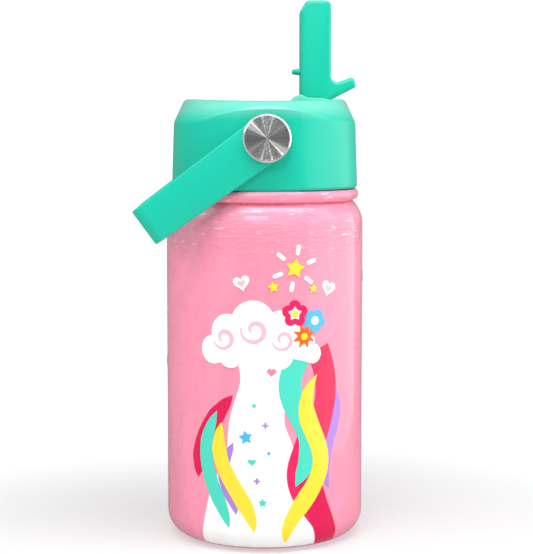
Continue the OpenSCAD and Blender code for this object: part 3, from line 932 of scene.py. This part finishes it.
def makeSpoutBlank():
    s = spoutSizes
    x0, z0 = spoutHinge.x, spoutHinge.z
    left, right, top = x0 - spoutHalf, x0 + spoutHalf, spoutHigh.z
    upTip = Vector((x0 + s["upTipOut"], z0 + s["upTipUp"]))
    lowTip = Vector((spoutHigh.x, z0 + s["lowTipUp"]))
    upRoot = leverRoot(upTip, s["leverUp"], right)
    lowRoot = leverRoot(lowTip, s["leverDown"], right)
    chamferTop, chamferFoot = (left + s["chamferOut"], top), (left, top - s["chamferDown"])
    outline = arc(x0, z0, spoutHalf, 180, 360, 40)
    outline += corner((right, z0), lowRoot, lowTip, 1.6, 6)
    outline += corner(lowRoot, lowTip, upTip, s["leverTip"], 8)
    outline += corner(lowTip, upTip, upRoot, s["leverTip"], 8)
    outline += corner(upTip, upRoot, (right, top), 2.3, 12)
    outline += corner(upRoot, (right, top), (left, top), s["tipRound"], 8)
    outline += corner((right, top), chamferTop, chamferFoot, 2.2, 6)
    outline += corner(chamferTop, chamferFoot, (left, z0), 3.0, 6)
    width = spoutHigh.y - spoutLow.y
    spout = platePiece("mouthpiece", outline, -width / 2, width / 2)
    roundEdges(spout, s["edge"], 4, 50)
    return spout


def makePeg():
    s = spoutSizes
    x, z = spoutHinge.x - spoutHalf - 1, spoutHinge.z + s["pegUp"]
    deselect()
    bpy.ops.mesh.primitive_cone_add(vertices=40, radius1=s["pegBase"], radius2=s["pegTip"],
        depth=s["pegLong"], location=(x, 0, z), rotation=(0, -math.pi / 2, 0))
    bpy.ops.object.transform_apply(location=True, rotation=True, scale=True)
    peg = bpy.context.object
    peg.name = "ventPeg"
    return roundEdges(peg, 0.35, 3, 40)


def makeSpout():
    s = spoutSizes
    x, z, top = spoutHinge.x, spoutHinge.z, spoutHigh.z
    spout = makeSpoutBlank()
    combine(spout, makePeg(), "UNION")
    combine(spout, rod("drill", s["bore"], (x, 0, z - s["boreDown"]), (x, 0, top + s["over"])))
    combine(spout, rod("drill", s["mouth"], (x, 0, top - s["mouthDeep"]), (x, 0, top + s["over"])))
    for side in (-1, 1):
        combine(spout, rod("drill", s["pinHole"], (x, side * s["pinFrom"], z),
            (x, side * s["pinTo"], z), 32))
    return spout


finishPiece(makeSpout(), "spout", greenPlastic, ["spout"], 38)
print("spout made")

handleSizes = {"hang": 36.2, "armWidth": 16.4, "gripWidth": 14.3, "armThick": 2.6, "gripThick": 2.0,
    "gap": 0.9, "outerCorner": 4.0, "innerCorner": 1.9, "edge": 0.6, "hole": 3.56, "blank": 12,
    "cutter": 60}


def strapOutline(half, end, radius, back):
    # the handle from above: two arms from the back to the grip, with round corners between
    points = [(back, -half)] + arc(end - radius, -half + radius, radius, -90, 0, 16)
    return points + arc(end - radius, half - radius, radius, 0, 90, 16) + [(back, half)]


def makeHandle():
    h = handleSizes
    outer, blank = boxOf("handle")[1].y, h["blank"]
    inner = outer - h["armThick"]
    hang = math.radians(h["hang"])
    reach = (shellSizes["radius"] + h["gap"] + h["gripWidth"] / 2 * math.sin(hang)) / math.cos(hang)
    end = reach + h["gripThick"]
    ring = strapOutline(outer, end, h["outerCorner"], -blank)
    hole = strapOutline(inner, reach, h["innerCorner"], -blank)
    handle = platePiece("carryHandle", ring + list(reversed(hole)), -blank, blank)
    editAll(handle)  # the plan was drawn upright, so it is laid down
    bpy.ops.transform.rotate(value=math.pi / 2, orient_axis="X", center_override=(0, 0, 0))
    bpy.ops.object.mode_set(mode="OBJECT")
    root = h["armWidth"] / 2
    lean = math.degrees(math.asin((h["armWidth"] - h["gripWidth"]) / 2 / end))
    side = arc(0, 0, root, 90 - lean, 270 + lean, 48)
    side += [(end + 1, -h["gripWidth"] / 2), (end + 1, h["gripWidth"] / 2)]
    combine(handle, platePiece("sideCutter", side, -h["cutter"], h["cutter"]), "INTERSECT")
    roundEdges(handle, h["edge"], 3, 40)
    combine(handle, rod("drill", h["hole"], (0, -h["cutter"], 0), (0, h["cutter"], 0)))
    turn = math.radians(180 - h["hang"])
    for vertex in handle.data.vertices:
        x, y, z = vertex.co
        vertex.co = (handlePivot.x + x * math.cos(turn) + z * math.sin(turn), y,
            handlePivot.z - x * math.sin(turn) + z * math.cos(turn))
    return handle


finishPiece(makeHandle(), "handle", greenPlastic, ["handle"], 38)
print("handle made")

capSizes = {"rim": 0.7, "dish": 0.12, "underside": 0.25, "slope": 0.3, "outerRound": 0.3,
    "innerRound": 0.18}


def makeCap(name, node, side):
    # the button is spun lying flat, then stood against the handle with its face outwards
    c = capSizes
    low, high = boxOf(node)
    radius, thick = (high.x - low.x) / 2, high.y - low.y
    rim, dish = radius - c["rim"], thick - c["dish"]
    shoulder = (radius, thick - c["rim"])
    outline = [(0, 0), (radius - c["underside"], 0), (radius, c["underside"])]
    outline += corner((radius, 0), shoulder, (rim, thick), c["outerRound"], 4)
    outline += corner(shoulder, (rim, thick), (0, thick), c["innerRound"], 4)
    outline += [(rim - c["slope"], dish)]
    outline += [(radius * t, dish) for t in (0.7, 0.4, 0.15, 0)]
    cap = spinPiece(name, outline, 128)
    base = low.y if side > 0 else high.y
    for vertex in cap.data.vertices:
        x, y, z = vertex.co
        vertex.co = (handlePivot.x + x * side, base + side * z, handlePivot.z + y)
    return cap


for name, node, side in (("frontButton", "cap_front", -1), ("backButton", "cap_back", 1)):
    finishPiece(makeCap(name, node, side), "lid", capSteel, [node], 25)
print("buttons made")

# CAD parts that are shown as they are
carried = {"inner_liner": linerSteel, "base_plate": baseSteel, "vacuum_bead": darkGlass,
    "getter_cup": getterMetal, "lid_gasket": clearRubber, "lid_insert": frostPlastic,
    "vent_valve": clearRubber, "spout_seal": clearRubber, "straw_stem": frostPlastic,
    "stem_ring": clearRubber, "straw": frostPlastic, "spout_pins": pinSteel,
    "insert_front": brass, "insert_back": brass, "post_front": pinSteel, "post_back": pinSteel,
    "washer_front": washerPlastic, "washer_back": washerPlastic}
for node, material in carried.items():
    part = bpy.data.objects[node]
    part.data.materials.clear()
    part.data.materials.append(material)
print("carried pieces painted")

# the stage is made in metres
stageSizes = {"floor": 8.0, "floorDown": 0.0002, "wallBack": 1.6, "wallWide": 1.0, "wallDown": 0.3,
    "shadeFrom": 0.02, "shadeTo": 0.24}
cameraSizes = {"distance": 0.56, "height": 0.152, "side": 0.0007, "azimuth": -1.4, "pitch": 4.5,
    "shift": 0.06, "lens": 97.6, "clip": 0.01}
lamps = {  # each softbox's place, its width and height, and its power in watts
    "topSoftbox": ((0.05, -0.34, 0.98), (1.1, 0.40), 9.6),
    "leftHighSoftbox": ((-0.85, -0.15, 0.72), (0.45, 0.6), 2.2),
    "rightHighSoftbox": ((0.85, -0.15, 0.74), (0.45, 0.6), 1.6),
    "frontHighSoftbox": ((-0.20, -0.95, 0.78), (0.5, 0.3), 3.6),
    "rightWall": ((0.92, -0.03, 0.16), (1.5, 0.7), 5.4)}
lampTarget = Vector((0, 0, 0.12))
worldPower = 0.30


def floorPaint():
    # a glowing floor with a painted shadow that greys it near the bottle, and dimmer far aside and in
    # front, where it is out of view
    paint = Paint("paleFloorPaint", Roughness=0.6, Specular_IOR_Level=0.0, Emission_Strength=1.0)
    tone = paint.noise(paint.place(), 2.0, 2)
    spot = paint.place((0.62, 1, 1), (0, -0.03, 0))
    reach = paint.node("ShaderNodeVectorMath", {"operation": "LENGTH"}, {0: spot}, 1)
    far = paint.rise(reach, stageSizes["shadeFrom"], stageSizes["shadeTo"])
    aside = paint.node("ShaderNodeMath", {"operation": "ABSOLUTE"}, {0: paint.along("X", paint.place())})
    ahead = paint.along("Y", paint.place()) * -1
    dim = paint.ramp(aside, (0.42, 1.0), (0.9, 0.3)) * paint.ramp(ahead, (0.4, 1.0), (0.9, 0.25))
    # painted shadow: the glow is lower near the bottle and full farther out
    glow = paint.mix(far, (0.44, 0.44, 0.44, 1), (0.80, 0.80, 0.80, 1))
    return paint.set(Emission_Color=paint.mix(dim, (0, 0, 0, 1), glow),
        Base_Color=paint.mix(tone, (0.36, 0.36, 0.36, 1), (0.37, 0.37, 0.37, 1)))


def wallPaint():
    paint = Paint("whiteBackdropPaint", Roughness=1.0, Emission_Strength=1.0)
    tone = paint.noise(paint.place(), 1.0, 2)
    return paint.set(Base_Color=(0.1, 0.1, 0.1, 1),
        Emission_Color=paint.mix(tone, (1.0, 1.0, 1.0, 1), (1.02, 1.02, 1.02, 1)))


def stagePlane(name, size, place, material, rotation=(0, 0, 0)):
    deselect()
    bpy.ops.mesh.primitive_plane_add(size=size, location=place, rotation=rotation)
    plane = bpy.context.object
    plane.name = name
    plane.visible_glossy = False  # the bottle's edges mirror the darker world instead
    plane.data.materials.append(material)


def makeStage():
    s = stageSizes
    stagePlane("paleFloor", s["floor"], (0, 0, -s["floorDown"]), floorPaint())
    stagePlane("whiteBackdrop", s["wallWide"], (0, s["wallBack"], s["wallWide"] / 2 - s["wallDown"]),
        wallPaint(), (math.pi / 2, 0, 0))


def makeLights():
    world = bpy.data.worlds.new("whiteStudio")
    bpy.context.scene.world = world
    world.use_nodes = True
    world.node_tree.nodes["Background"].inputs["Color"].default_value = (1, 1, 1, 1)
    world.node_tree.nodes["Background"].inputs["Strength"].default_value = worldPower
    for name, (place, size, power) in lamps.items():
        deselect()
        aim = (lampTarget - Vector(place)).to_track_quat("-Z", "Y").to_euler()
        bpy.ops.object.light_add(type="AREA", location=place, rotation=aim)
        lamp = bpy.context.object
        lamp.name = name
        lamp.data.shape = "RECTANGLE"
        lamp.data.size, lamp.data.size_y = size
        lamp.data.energy = power


def makeCamera():
    c = cameraSizes
    turn, pitch = math.radians(c["azimuth"]), math.radians(c["pitch"])
    deselect()
    bpy.ops.object.camera_add(rotation=(math.pi / 2 - pitch, 0, turn), location=(c["side"]
        + c["distance"] * math.sin(turn), -c["distance"] * math.cos(turn), c["height"]))
    camera = bpy.context.object
    camera.data.lens = c["lens"]
    camera.data.sensor_width = 36
    camera.data.shift_y = -c["shift"]
    camera.data.clip_start = c["clip"]
    bpy.context.scene.camera = camera


makeStage()
makeLights()
makeCamera()
bpy.context.scene.view_settings.view_transform = "Standard"
print("stage set")
